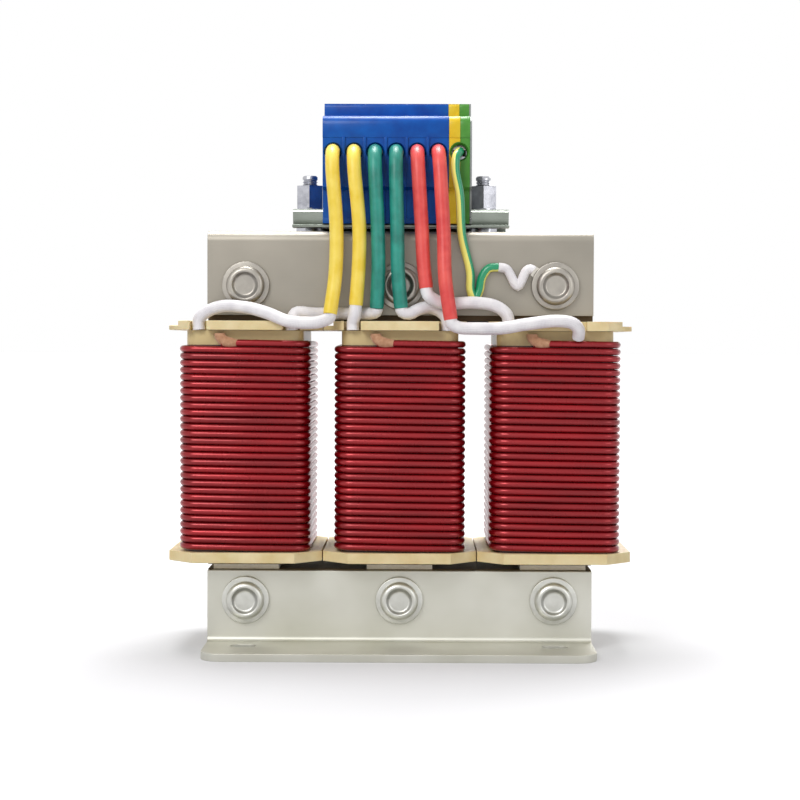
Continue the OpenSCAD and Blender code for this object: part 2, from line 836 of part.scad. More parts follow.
module earth_terminal_green() {
    color("green")
        translate([term_at(phase_count), 0, 0])
            difference() {
                intersection() {
                    term_body();
                    union() {
                        earth_half(split_x, body_w);
                        entry_collars(0);
                    }
                }
                post_cavity();
            }
}

module end_plate() {
    start = term_at(phase_count) + body_w / 2 + strip_gap;
    color("dimgray")
        translate([start + end_plate_t / 2, 0, 0])
            along_x(end_plate_t)
                polygon(concat(term_side(1), backwards(term_side(-1))));
}

module current_bars() {
    color("lightgray") {
        for (i = [0 : term_count - 1])
            block([bar_w, 2 * clamp_y + cage_l - 2 * lay_gap, bar_t], [term_at(i), 0, bar_bottom]);
        block([post_w, post_l, bar_bottom - crown_z], [term_at(phase_count), 0, crown_z]);
    }
}

// Bare ends in the front clamps, and the ring lug of the earth lead
module conductor_ends() {
    color("lightgray") {
        for (i = [0 : term_count - 1])
            rod(conductor_d, [term_at(i), wire_z], earth_route[0][1], -tip_end_y);
        translate([leg_at(2), -face_y - lug_t, upper_bolt_z])
            rotate([-90, 0, 0])
                difference() {
                    union() {
                        cylinder(d = lug_ring_d, h = lug_t);
                        rotate([0, 0, -lug_turn])
                            translate([0, -lug_tail_w / 2, 0])
                                cube([lug_tail_l, lug_tail_w, lug_t]);
                    }
                    translate([0, 0, -over])
                        cylinder(d = bolt_d + 2 * bolt_clear, h = lug_t + 2 * over);
                }
    }
}

module yellow_sleeves() {
    color("khaki")
        for (route = yellow_routes)
            tube(route, phase_sleeve_d, sleeve_sides);
}

module green_sleeves() {
    color("teal")
        for (route = green_routes)
            tube(route, phase_sleeve_d, sleeve_sides);
}

module red_sleeves() {
    color("tomato")
        for (route = red_routes)
            tube(route, phase_sleeve_d, sleeve_sides);
}

module white_sleeves() {
    color("white") {
        for (route = white_routes)
            tube(route, white_sleeve_d, sleeve_sides, [0, -1, 0]);
        tube(earth_sleeve_route, earth_sleeve_d, thin_sides, [0, -1, 0]);
    }
}

module earth_lead() {
    color("yellowgreen")
        tube(earth_route, earth_d, thin_sides);
}

module screw(i, end) {
    color("silver")
        translate([term_at(i), end * clamp_y, 0])
            difference() {
                union() {
                    translate([0, 0, bar_top + grip_gap])
                        cylinder(d = screw_d, h = head_z - bar_top);
                    translate([0, 0, head_z])
                        cylinder(d = screw_head_d, h = screw_head_h);
                }
                block([screw_slot_w, 2 * screw_d, screw_slot_t + over], [0, 0, head_z + screw_head_h - screw_slot_t]);
            }
}

// The cage that pulls the wire up against the bar; the rear ones rest in their open place
module clamp_cage(i, end) {
    drop = end > 0 ? travel : 0;
    color("silver")
        translate([term_at(i), end * clamp_y, cage_bottom - drop])
            difference() {
                block([cage_w, cage_l, cage_top - cage_bottom], [0, 0, 0]);
                block([cage_w - 2 * cage_side_t, cage_l + over, cage_inner_top - cage_inner_bottom], [0, 0, cage_floor_t]);
                cylinder(d = screw_d + 2 * thread_clear, h = cage_top);
            }
}

core_e_stack();
core_yoke_stack();
gap_spacers();
for (side = [0 : 2]) {
    bobbin(side);
    outer_winding(side);
}
inner_windings();
top_channel();
front_foot();
rear_foot();
clamp_bolts();
clamp_washers();
clamp_nuts();
bolt_sleeves();
din_rail();
rail_studs();
rail_spacers();
rail_nuts();
phase_terminals();
earth_terminal_yellow();
earth_terminal_green();
end_plate();
current_bars();
conductor_ends();
yellow_sleeves();
green_sleeves();
red_sleeves();
white_sleeves();
earth_lead();
for (i = [0 : term_count - 1]) {
    screw(i, -1);
    clamp_cage(i, -1);
    screw(i, 1);
    clamp_cage(i, 1);
}
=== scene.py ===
import math

import bpy
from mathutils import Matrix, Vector


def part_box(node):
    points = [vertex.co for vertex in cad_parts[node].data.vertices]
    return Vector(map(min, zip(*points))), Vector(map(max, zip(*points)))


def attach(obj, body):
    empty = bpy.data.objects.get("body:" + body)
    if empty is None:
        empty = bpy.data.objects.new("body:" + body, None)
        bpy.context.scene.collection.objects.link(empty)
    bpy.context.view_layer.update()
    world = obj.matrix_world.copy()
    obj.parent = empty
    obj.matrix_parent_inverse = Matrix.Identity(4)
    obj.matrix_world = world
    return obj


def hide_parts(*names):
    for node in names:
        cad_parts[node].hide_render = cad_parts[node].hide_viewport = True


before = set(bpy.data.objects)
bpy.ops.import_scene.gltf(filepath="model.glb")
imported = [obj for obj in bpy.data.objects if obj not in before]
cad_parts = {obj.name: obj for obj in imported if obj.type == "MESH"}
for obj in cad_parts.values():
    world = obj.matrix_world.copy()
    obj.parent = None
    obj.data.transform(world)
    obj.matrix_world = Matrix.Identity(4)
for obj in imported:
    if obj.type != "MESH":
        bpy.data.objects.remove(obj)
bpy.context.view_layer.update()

# --- Camera -------------------------------------------------------------------
# The photograph is taken almost level, from a little right of the middle and
# 0.12 m above the table, with a long lens.
CAMERA_AT = (0.0057, -0.729, 0.1193)
CAMERA_TURN = (88.2255, -0.2004, 0.468)
CAMERA_LENS = 81.6

bpy.ops.object.select_all(action='DESELECT')
bpy.ops.object.camera_add(location=CAMERA_AT, rotation=[math.radians(turn) for turn in CAMERA_TURN])
camera = bpy.context.object
camera.name = "camera"
camera.data.lens = CAMERA_LENS
camera.data.sensor_width = 36
camera.data.clip_end = 20
bpy.context.scene.camera = camera

# --- Leads from the terminals to the coils ------------------------------------
# Twelve varnished glass sleeves over the coil ends: a coloured silicone one
# from the terminal down to the yoke, and inside its mouth a white braided one
# that runs along the bobbin edge and down behind it into its coil.
COLOURED_D = 0.0054
COLOURED_END = 0.96  # the cut end draws in to this share of the diameter
WHITE_D = 0.0048
TUBE_SIDES = 20
STRANDS_ROUND = 10

# Points of each route in mm.
coloured_routes = {
    "yellow_sleeve": [
        [[-26.4, -16, 194], [-26.4, -23, 194], [-26.4, -28, 191.5], [-26.2, -30.3, 186],
         [-24.6, -31, 164], [-24.9, -32, 146], [-26.8, -34.2, 130.6]],
        [[-18.2, -16, 194], [-18.2, -23, 194], [-18.1, -28, 191.5], [-17.8, -30.3, 186],
         [-15.8, -31.2, 164], [-16, -32, 148], [-17, -32.4, 134]]],
    "green_sleeve": [
        [[-10, -16, 194], [-10, -23, 194], [-10, -28, 191.5], [-9.8, -30.3, 186],
         [-8.7, -31.4, 164], [-8.4, -32, 148], [-9, -31, 133]],
        [[-1.8, -16, 194], [-1.8, -23, 194], [-1.8, -28, 191.5], [-1.8, -30.3, 186],
         [-1.2, -32, 164], [-0.8, -32.6, 146], [0.4, -32.4, 133]]],
    "red_sleeve": [
        [[6.4, -16, 194], [6.4, -23, 194], [6.5, -28, 191.5], [6.8, -30.3, 186],
         [8.2, -31.4, 164], [8.9, -32.4, 151], [10, -33.2, 140.6]],
        [[14.6, -16, 194], [14.6, -23, 194], [14.8, -28, 191.5], [15.2, -30.6, 186],
         [16.6, -33.6, 162], [17.2, -36.6, 144], [19.4, -37.2, 128.6]]],
}
white_routes = [
    [[-26.8, -34.2, 130.6], [-27, -34.4, 129.3], [-30.6, -36.4, 127.6], [-36, -37.2, 127.2],
     [-43, -37.1, 127.9], [-51, -35.2, 131], [-60, -32, 133.2], [-69, -31.2, 133.4],
     [-75, -31, 131], [-77.5, -30.3, 128.4], [-77.5, -30.3, 124.5]],
    [[-17, -32.4, 134], [-17.4, -32.5, 130.4], [-18.1, -31.2, 127.2], [-18.1, -31.2, 124.5]],
    [[-9, -31, 133], [-9.3, -30.6, 131.6], [-12.5, -28, 130.9], [-19, -26.7, 130.9],
     [-33, -26.7, 130.9], [-40.4, -28.2, 131], [-41.7, -29.4, 127.4], [-41.7, -29.4, 124.5]],
    [[0.4, -32.4, 133], [0.8, -32.3, 131.6], [3.6, -31.6, 130.9], [7.2, -30.6, 132.6],
     [11, -28.8, 133.4], [14.8, -27.6, 132.2], [17.6, -28.4, 129.8], [18.3, -29.4, 127],
     [18.3, -29.4, 124.5]],
    [[10, -33.2, 140.6], [10.6, -33.6, 138.2], [15, -32.2, 135.4], [21, -30.9, 135],
     [29, -30.7, 135.2], [37, -30.5, 133.8], [41.2, -29.8, 130.4], [41.7, -29.4, 127.4],
     [41.7, -29.4, 124.5]],
    [[19.4, -37.2, 128.6], [19.7, -37.4, 127.1], [22.4, -37.4, 125.6], [28.4, -37.4, 125.2],
     [39, -37.4, 125.4], [47.4, -37.4, 126.8], [60, -37.4, 128.2], [65.6, -37.4, 127.4],
     [68.2, -35.8, 125], [68.3, -33.4, 121.9]],
]


def smoothed(route, spacing=0.0012):
    """The route, in mm, as points in metres along a smooth curve through its points."""
    stops = [Vector(point) / 1000 for point in route]
    stops = [2 * stops[0] - stops[1]] + stops + [2 * stops[-1] - stops[-2]]
    points = []
    for a, b, c, d in zip(stops, stops[1:], stops[2:], stops[3:]):
        # Each stretch counts by the square root of its length, which keeps the
        # curve from swinging out where two points are close together.
        at_b = (b - a).length ** 0.5
        at_c = at_b + (c - b).length ** 0.5
        at_d = at_c + (d - c).length ** 0.5
        steps = max(2, round((c - b).length / spacing))
        for i in range(steps):
            at = at_b + (at_c - at_b) * i / steps
            ab = a.lerp(b, at / at_b)
            bc = b.lerp(c, (at - at_b) / (at_c - at_b))
            cd = c.lerp(d, (at - at_c) / (at_d - at_c))
            abc = ab.lerp(bc, at / at_c)
            bcd = bc.lerp(cd, (at - at_b) / (at_d - at_b))
            points.append(abc.lerp(bcd, (at - at_b) / (at_c - at_b)))
    return points + [stops[-2]]


def pick(*pieces):
    """Only these objects are selected, and the first is the active one."""
    bpy.ops.object.select_all(action='DESELECT')
    for piece in pieces:
        piece.select_set(True)
    bpy.context.view_layer.objects.active = pieces[0]


def tube(name, points, diameters, sides=TUBE_SIDES, first=(1, 0, 0)):
    """A round tube along points, with a UV map of turns round it and metres along it.

    diameters is one diameter or a list of one for each point. first is where the
    seam starts, and may not point along the start of the tube.
    """
    verts, faces, uvs, distances = [], [], [], []
    side = Vector(first)
    along = 0
    for i, at in enumerate(points):
        ahead = (points[min(i + 1, len(points) - 1)] - points[max(i - 1, 0)]).normalized()
        side = (side - side.dot(ahead) * ahead).normalized()
        up = ahead.cross(side)
        radius = (diameters[i] if isinstance(diameters, list) else diameters) / 2
        if i:
            along += (at - points[i - 1]).length
        distances.append(along)
        for k in range(sides):
            turn = 2 * math.pi * k / sides
            verts.append(at + radius * (math.cos(turn) * side + math.sin(turn) * up))
    for i in range(len(points) - 1):
        for k in range(sides):
            j = (k + 1) % sides
            faces.append((i * sides + k, i * sides + j, (i + 1) * sides + j, (i + 1) * sides + k))
            uvs += [(k / sides, distances[i]), ((k + 1) / sides, distances[i]),
                    ((k + 1) / sides, distances[i + 1]), (k / sides, distances[i + 1])]
    last = (len(points) - 1) * sides
    faces.append(tuple(reversed(range(sides))))
    uvs += [(0, 0)] * sides
    faces.append(tuple(range(last, last + sides)))
    uvs += [(0, along)] * sides
    mesh = bpy.data.meshes.new(name)
    mesh.from_pydata(verts, [], faces)
    layer = mesh.uv_layers.new(name="UVMap")
    for loop, uv in zip(layer.data, uvs):
        loop.uv = uv
    mesh.update()
    made = bpy.data.objects.new(name, mesh)
    bpy.context.collection.objects.link(made)
    pick(made)
    bpy.ops.object.shade_smooth_by_angle(angle=math.radians(40))
    return made


def linear(colour):
    """An sRGB hex colour as Blender's linear red, green, blue and alpha."""
    parts = [int(colour[i:i + 2], 16) / 255 for i in (1, 3, 5)]
    return tuple(c / 12.92 if c <= 0.04045 else ((c + 0.055) / 1.055) ** 2.4 for c in parts) + (1,)


def add_node(material, kind, inputs=None, stops=(), feeds=None, **settings):
    """One node with its settings and links.

    Each of inputs is a value or another node's output. stops are a ramp's places
    and colours. feeds says which socket each output goes to.
    """
    made = material.node_tree.nodes.new(kind)
    for name, value in settings.items():
        setattr(made, name, value)
    for name, value in (inputs or {}).items():
        if isinstance(value, bpy.types.NodeSocket):
            material.node_tree.links.new(value, made.inputs[name])
        else:
            made.inputs[name].default_value = value
    for i, (place, colour) in enumerate(stops):
        made.color_ramp.elements[i].position = place
        made.color_ramp.elements[i].color = linear(colour)
    for name, socket in (feeds or {}).items():
        material.node_tree.links.new(made.outputs[name], socket)
    return made


def new_material(name, **shader):
    """A node material and its surface shader, that shader's own sockets set."""
    material = bpy.data.materials.new(name)
    material.use_nodes = True
    surface = material.node_tree.nodes["Principled BSDF"]
    for socket, value in shader.items():
        surface.inputs[socket.replace("_", " ")].default_value = value
    return material, surface


def grain(material, size, detail=3, stretch=(1, 1, 1)):
    """Soft blotches of a size in metres, drawn out where stretch is under 1.

    They follow the piece's own coordinates and lie mostly between 0.3 and 0.7.
    """
    place = add_node(material, "ShaderNodeTexCoord")
    drawn = add_node(material, "ShaderNodeMapping",
                     {"Vector": place.outputs["Object"], "Scale": stretch})
    blotches = add_node(material, "ShaderNodeTexNoise",
                        {"Vector": drawn.outputs["Vector"], "Scale": 1 / size, "Detail": detail})
    return blotches.outputs["Fac"]


def woven_sleeve(name, dark, light, roughness, crossing, height):
    """Glass braid under a skin of silicone or varnish, its strands crossing at that distance."""
    material, surface = new_material(name, Roughness=roughness, Coat_Weight=0.15,
                                     Coat_Roughness=0.35, Specular_IOR_Level=0.4)
    add_node(material, "ShaderNodeValToRGB", {"Fac": grain(material, 0.006)},
             stops=((0.3, dark), (0.7, light)), feeds={"Color": surface.inputs["Base Color"]})
    place = add_node(material, "ShaderNodeUVMap", uv_map="UVMap")
    parts = add_node(material, "ShaderNodeSeparateXYZ", {"Vector": place.outputs["UV"]})
    around = add_node(material, "ShaderNodeMath",
                      {0: parts.outputs["X"], 1: STRANDS_ROUND * 2 * math.pi}, operation='MULTIPLY')
    along = add_node(material, "ShaderNodeMath",
                     {0: parts.outputs["Y"], 1: math.pi / crossing}, operation='MULTIPLY')
    strands = []
    for way in ('ADD', 'SUBTRACT'):
        lay = add_node(material, "ShaderNodeMath", {0: around.outputs[0], 1: along.outputs[0]},
                       operation=way)
        strands.append(add_node(material, "ShaderNodeMath", {0: lay.outputs[0]}, operation='SINE'))
    crossed = add_node(material, "ShaderNodeMath",
                       {0: strands[0].outputs[0], 1: strands[1].outputs[0]}, operation='MULTIPLY')
    raised = add_node(material, "ShaderNodeMapRange", {"Value": crossed.outputs[0], "From Min": -1})
    add_node(material, "ShaderNodeBump", {"Height": raised.outputs["Result"], "Distance": height},
             feeds={"Normal": surface.inputs["Normal"]})
    return material


# Silicone-coated glass sleeve: even soft colour, satin, the braid barely felt.
# The strands cross every 0.45 mm along the sleeve.
sleeve_silicone = {
    "yellow_sleeve": woven_sleeve("yellow silicone glass sleeve", "#F4D23E", "#FFE468",
                                  0.42, 0.00045, 0.00004),
    "green_sleeve": woven_sleeve("green silicone glass sleeve", "#157567", "#2A9A88",
                                 0.42, 0.00045, 0.00004),
    "red_sleeve": woven_sleeve("red silicone glass sleeve", "#D93F3F", "#F06058",
                               0.42, 0.00045, 0.00004),
}
# Varnished glass braid, bare: white, soft sheen, strands that cross every 0.55 mm
# and stand up enough to be seen.
sleeve_braid = woven_sleeve("white varnished glass braid", "#E2DEE2", "#F7F4F5",
                            0.5, 0.00055, 0.00009)

for colour, routes in coloured_routes.items():
    for number, route in enumerate(routes, 1):
        points = smoothed(route)
        diameters = [COLOURED_D] * (len(points) - 1) + [COLOURED_D * COLOURED_END]
        piece = tube(f"{colour}_{number}", points, diameters)
        piece.data.materials.append(sleeve_silicone[colour])
        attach(piece, "frame")
        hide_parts(colour + "s")
for number, route in enumerate(white_routes, 1):
    piece = tube(f"white_sleeve_{number}", smoothed(route), WHITE_D)
    piece.data.materials.append(sleeve_braid)
    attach(piece, "frame")
    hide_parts("white_sleeves")

# --- Earth lead ---------------------------------------------------------------
# Green and yellow PVC wire from the earth terminal to the lug under the upper
# right clamp bolt, with a short white sleeve over the crimp of the lug.
EARTH_D = 0.0034
EARTH_SLEEVE_D = 0.0036
EARTH_SIDES = 16
STRIPE_TURNS = 1.5  # turns of the stripes in a metre of wire
STRIPE_START = 0.76  # where in a turn they start
YELLOW_SHARE = 0.46
earth_route = [
    [22.8, -16, 194], [22.8, -22, 194], [21.4, -26, 191.6], [21.2, -27, 186], [22.8, -27.2, 177],
    [23.8, -27, 161], [27, -27, 147], [27.2, -27, 140], [28.8, -26.4, 136.6], [30.6, -26, 140],
    [31.6, -26, 145], [34.2, -26, 148.6], [38, -26, 149]]
earth_sleeve_route = [
    [38, -26, 149], [41, -26, 148.4], [45.4, -26, 141.6], [48.8, -26, 147.8], [50.4, -26, 148.5],
    [51.4, -26, 147.8]]

# Extruded PVC, glossy: a green half and a yellow half that wind slowly round.
earth_pvc, surface = new_material("green and yellow PVC insulation", Roughness=0.32,
                                  Coat_Weight=0.2)
place = add_node(earth_pvc, "ShaderNodeUVMap", uv_map="UVMap")
parts = add_node(earth_pvc, "ShaderNodeSeparateXYZ", {"Vector": place.outputs["UV"]})
wound = add_node(earth_pvc, "ShaderNodeMath",
                 {0: parts.outputs["Y"], 1: STRIPE_TURNS, 2: STRIPE_START},
                 operation='MULTIPLY_ADD')
turned = add_node(earth_pvc, "ShaderNodeMath", {0: parts.outputs["X"], 1: wound.outputs[0]},
                  operation='ADD')
one_turn = add_node(earth_pvc, "ShaderNodeMath", {0: turned.outputs[0]}, operation='FRACT')
halves = add_node(earth_pvc, "ShaderNodeValToRGB", {"Fac": one_turn.outputs[0]},
                  stops=((YELLOW_SHARE - 0.01, "#F4EE7A"), (YELLOW_SHARE, "#159566")),
                  feeds={"Color": surface.inputs["Base Color"]})
halves.color_ramp.interpolation = 'CONSTANT'
add_node(earth_pvc, "ShaderNodeBump", {"Height": grain(earth_pvc, 0.0008), "Distance": 0.00001},
         feeds={"Normal": surface.inputs["Normal"]})

piece = tube("earth_wire", smoothed(earth_route), EARTH_D, EARTH_SIDES)
piece.data.materials.append(earth_pvc)
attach(piece, "frame")
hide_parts("earth_lead")
piece = tube("earth_crimp_sleeve", smoothed(earth_sleeve_route), EARTH_SLEEVE_D, EARTH_SIDES)
piece.data.materials.append(sleeve_braid)
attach(piece, "frame")
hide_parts("white_sleeves")

# --- Outer layer of the windings ----------------------------------------------
# Each coil's last layer: thirty turns of round enamelled copper wound tight on
# the bobbin by machine, coming out of the back pocket and ending at the front.
WIRE_D = 0.0026
WIRE_SIDES = 12
TURNS = 30
LEG_PITCH = 0.060
TURN_X = 0.02415
TURN_Y = 0.03195
TURN_CORNER = 0.0062
TURN_BOW = 0.0008  # how far the wire stands out in the middle of the front and back
CORNER_STEPS = 6
SIDE_STATIONS = (0.25, 0.5, 0.75)
FRONT_STATIONS = (0.17, 0.33, 0.5, 0.67, 0.83)
FIRST_TURN_Z = 0.0401
TURN_PITCH = 0.00272
# How much of its pitch a turn has climbed at each share of its way round from
# the middle of the back: hardly any on the right, a quarter across the front,
# and the rest on the left and behind.
CLIMB = ((0, 0), (0.39, 0.05), (0.61, 0.3), (0.89, 0.65), (1, 1))
# The wire comes up out of the back pocket through these places, x from the leg
# and z.
POCKET = ((0, 0.036), (0, 0.0385), (0.0005, 0.0397))
# The most that the hand of the winder shows: a share of the turn's width, a
# share of its bow, and a height.
WANDER_WIDTH = 0.00072
WANDER_BOW = 0.108
WANDER_UP = 0.00003
WANDER_WAVES = (2.3, 9.1)  # radians in each turn, of two waves that beat together
# The last turn ends on the front, this far left of the leg's middle, inside its
# tape.
END_X = 0.0087
# Middle line of the tape in mm: from the leg's middle, out from the front of
# the turns, and up from the end of the wire.
END_TAPE = ((-2.2, 0.6, 0), (-5.2, 0.5, 0.1), (-8.0, 0.3, 0.9), (-9.2, 0, 2.4), (-9.3, 0, 3.6))
TAPE_BUILD = 0.0016
TAPE_RUN_IN = 14
TAPE_SIDES = 14
TAPE_SPACING = 0.0004

# One turn seen from above: four corners, each with the straight after it.
plan = []
for corner_x, corner_y, from_turn in ((-1, -1, 270), (-1, 1, 180), (1, 1, 90), (1, -1, 0)):
    straight_x, straight_y = TURN_X - TURN_CORNER, TURN_Y - TURN_CORNER
    for step in range(CORNER_STEPS + 1):
        turn = math.radians(from_turn - 90 / CORNER_STEPS * step)
        plan.append((corner_x * straight_x + TURN_CORNER * math.cos(turn),
                     corner_y * straight_y + TURN_CORNER * math.sin(turn)))
    if corner_x == corner_y:
        plan += [(corner_x * TURN_X, corner_y * straight_y * (1 - 2 * share))
                 for share in SIDE_STATIONS]
    else:
        plan += [(corner_x * straight_x * (1 - 2 * share), corner_y * TURN_Y)
                 for share in FRONT_STATIONS]
# It starts at the middle of the back.
back_middle = min(range(len(plan)), key=lambda i: abs(plan[i][0]) + abs(plan[i][1] - TURN_Y))
plan = plan[back_middle:] + plan[:back_middle]
way_round = [0]
for here, there in zip(plan, plan[1:] + plan[:1]):
    way_round.append(way_round[-1] + math.dist(here, there))


def climbed(share):
    """How much of its pitch a turn has climbed at that share of its way round."""
    for (share_from, climb_from), (share_to, climb_to) in zip(CLIMB, CLIMB[1:]):
        if share <= share_to:
            part = (share - share_from) / (share_to - share_from)
            return climb_from + (climb_to - climb_from) * part


def clouded(name, dark, light, clouds, bumps, height, gloss=None, **shader):
    """A material in clouds of two colours over fine bumps, its gloss uneven where gloss is given.

    clouds and bumps are the size, detail and stretch of a grain. gloss is the
    least and the most roughness, and a grain as well.
    """
    material, surface = new_material(name, **shader)
    add_node(material, "ShaderNodeValToRGB", {"Fac": grain(material, *clouds)},
             stops=((0.3, dark), (0.7, light)), feeds={"Color": surface.inputs["Base Color"]})
    if gloss:
        smooth, rough, *patches = gloss
        add_node(material, "ShaderNodeMapRange",
                 {"Value": grain(material, *patches), "To Min": smooth, "To Max": rough},
                 feeds={"Result": surface.inputs["Roughness"]})
    add_node(material, "ShaderNodeBump", {"Height": grain(material, *bumps), "Distance": height},
             feeds={"Normal": surface.inputs["Normal"]})
    return material


# Copper under red polyurethane enamel: a deep clear red, glossy, the lacquer
# thicker in some places, and a long bright line on the top of every turn.
coil_enamel = clouded("red enamelled copper wire", "#7A0610", "#9C0C18",
                      clouds=(0.012, 3, (0.3, 0.3, 3)), bumps=(0.004,), height=0.00002,
                      gloss=(0.22, 0.34, 0.006), Metallic=0.5, Coat_Weight=0.25,
                      Coat_Roughness=0.2)
# Cotton-tan tape wound on the bared end of the wire, matt and a little fuzzy.
end_tape = clouded("tan cotton tape", "#AE7C5A", "#C99A78", clouds=(0.0012,), bumps=(0.0005,),
                   height=0.00006, Roughness=0.75, Sheen_Weight=0.3)

for side, name in enumerate(("left", "middle", "right")):
    leg_x = (side - 1) * LEG_PITCH
    points = [Vector((leg_x + x, TURN_Y, z)) for x, z in POCKET]
    for i in range(1, TURNS * len(plan) + 1):
        x, y = plan[i % len(plan)]
        turns_done = i / len(plan)
        climb = i // len(plan) + climbed(way_round[i % len(plan)] / way_round[-1])
        bow = TURN_BOW * max(0, 1 - abs(x) / (TURN_X - TURN_CORNER))
        wander = (math.sin(WANDER_WAVES[0] * turns_done + side)
                  * math.sin(WANDER_WAVES[1] * turns_done + 2 * side))
        points.append(Vector((leg_x + x * (1 + WANDER_WIDTH * wander),
                              y + math.copysign(bow, y) * (1 + WANDER_BOW * wander),
                              FIRST_TURN_Z + TURN_PITCH * climb + WANDER_UP * max(0, wander))))
    while points[-1].y > 0 or not leg_x - END_X < points[-1].x < leg_x:
        points.pop()
    points.append(Vector((leg_x - END_X, points[-1].y, points[-1].z)))
    piece = tube(f"coil_{name}_turns", points, WIRE_D, WIRE_SIDES)
    piece.data.materials.append(coil_enamel)
    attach(piece, "frame")
    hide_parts("outer_winding_" + name)

    end_z = points[-1].z
    tape = smoothed([[1000 * leg_x + x, -1000 * TURN_Y - out, 1000 * end_z + up]
                     for x, out, up in END_TAPE], TAPE_SPACING)
    thickness = [WIRE_D + TAPE_BUILD * math.sin(math.pi / 2 * min(1, i / TAPE_RUN_IN))
                 for i in range(len(tape))]
    piece = tube(f"coil_{name}_end_tape", tape, thickness, TAPE_SIDES, (0, 1, 0))
    piece.data.materials.append(end_tape)
    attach(piece, "frame")

# --- Inner layers of the windings ---------------------------------------------
# The body of each coil under the last layer, impregnated with brown varnish and
# wrapped in tape. It fills the bobbin between its flanges.
COLLAR_Z = 0.1187

# Varnish-soaked crepe tape, dark red-brown and half gloss, with a bare collar
# of cream pressboard above the last turn.
coil_varnish, surface = new_material("varnished crepe tape", Roughness=0.5, Coat_Weight=0.3)
place = add_node(coil_varnish, "ShaderNodeTexCoord")
parts = add_node(coil_varnish, "ShaderNodeSeparateXYZ", {"Vector": place.outputs["Object"]})
collar = add_node(coil_varnish, "ShaderNodeMath", {0: parts.outputs["Z"], 1: COLLAR_Z},
                  operation='GREATER_THAN')
varnish = add_node(coil_varnish, "ShaderNodeValToRGB",
                   {"Fac": grain(coil_varnish, 0.003, 4, (1, 1, 4))},
                   stops=((0.3, "#2A0808"), (0.7, "#4A1210")))
# Sockets 6, 7 and 2 are the two colours of a Mix node and the colour it gives.
add_node(coil_varnish, "ShaderNodeMix",
         {"Factor": collar.outputs[0], 6: varnish.outputs["Color"], 7: linear("#CDB884")},
         feeds={2: surface.inputs["Base Color"]}, data_type='RGBA')
add_node(coil_varnish, "ShaderNodeBump",
         {"Height": grain(coil_varnish, 0.0009), "Distance": 0.00008},
         feeds={"Normal": surface.inputs["Normal"]})


def finish_node(name, material):
    """A CAD node keeps its shape and gets its finish."""
    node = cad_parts[name]
    node.data.materials.clear()
    node.data.materials.append(material)


finish_node("inner_windings", coil_varnish)

# --- Core ---------------------------------------------------------------------
# E and I shaped laminations of silicon steel, 0.5 mm thick and stacked from
# front to back, with white fibre board in the air gaps between E and I.
SHEET_LINES = 0.003

# Laminated steel edge: brown-grey varnish with the sheets as fine lines. The
# lines are drawn 3 mm apart, six times the real 0.5 mm, so that they show.
core_laminations, surface = new_material("varnished silicon steel laminations", Metallic=0.55,
                                         Roughness=0.55)
place = add_node(core_laminations, "ShaderNodeTexCoord")
sheets = add_node(core_laminations, "ShaderNodeTexWave",
                  {"Vector": place.outputs["Object"], "Scale": 2 * math.pi / 20 / SHEET_LINES,
                   "Distortion": 0.6, "Detail": 2, "Detail Scale": 30}, bands_direction='Y')
dirty = add_node(core_laminations, "ShaderNodeMath",
                 {0: sheets.outputs["Fac"], 1: grain(core_laminations, 0.008)},
                 operation='MULTIPLY')
add_node(core_laminations, "ShaderNodeValToRGB", {"Fac": dirty.outputs[0]},
         stops=((0.1, "#5A4A36"), (0.6, "#8A7A5C")), feeds={"Color": surface.inputs["Base Color"]})
add_node(core_laminations, "ShaderNodeBump", {"Height": sheets.outputs["Fac"], "Distance": 0.00012},
         feeds={"Normal": surface.inputs["Normal"]})
finish_node("core_e_stack", core_laminations)
finish_node("core_yoke_stack", core_laminations)

# Pressed aramid board: off-white, matt, with a faint fibre.
gap_board = clouded("aramid fibre board", "#F0E9E0", "#FDF9F2", clouds=(0.002, 4, (1, 1, 3)),
                    bumps=(0.0006,), height=0.00003, Roughness=0.8)
finish_node("gap_spacers", gap_board)

# --- Bobbins ------------------------------------------------------------------
# One moulded glass-filled nylon bobbin on each leg: a square tube with a flange
# at both ends, the upper one with ledges that guide the sleeves to their coil.
MOULDED_EDGE = 0.0004

# Glass-filled nylon, moulded: cream, satin, faintly cloudy with the fibres.
bobbin_nylon = clouded("cream glass-filled nylon", "#DCC58E", "#EEDDB0", clouds=(0.009, 4),
                       bumps=(0.0007,), height=0.00003, gloss=(0.38, 0.55, 0.002),
                       Subsurface_Weight=0.08, Subsurface_Scale=0.002, Specular_IOR_Level=0.45)


def round_edges(made, width, segments, sharpest):
    """The active object's edges that turn by more than sharpest degrees are rounded over."""
    edges = made.modifiers.new("edges", 'BEVEL')
    edges.width = width
    edges.segments = segments
    edges.limit_method = 'ANGLE'
    edges.angle_limit = math.radians(sharpest)
    bpy.ops.object.modifier_apply(modifier="edges")
    bpy.ops.object.shade_smooth_by_angle(angle=math.radians(35))


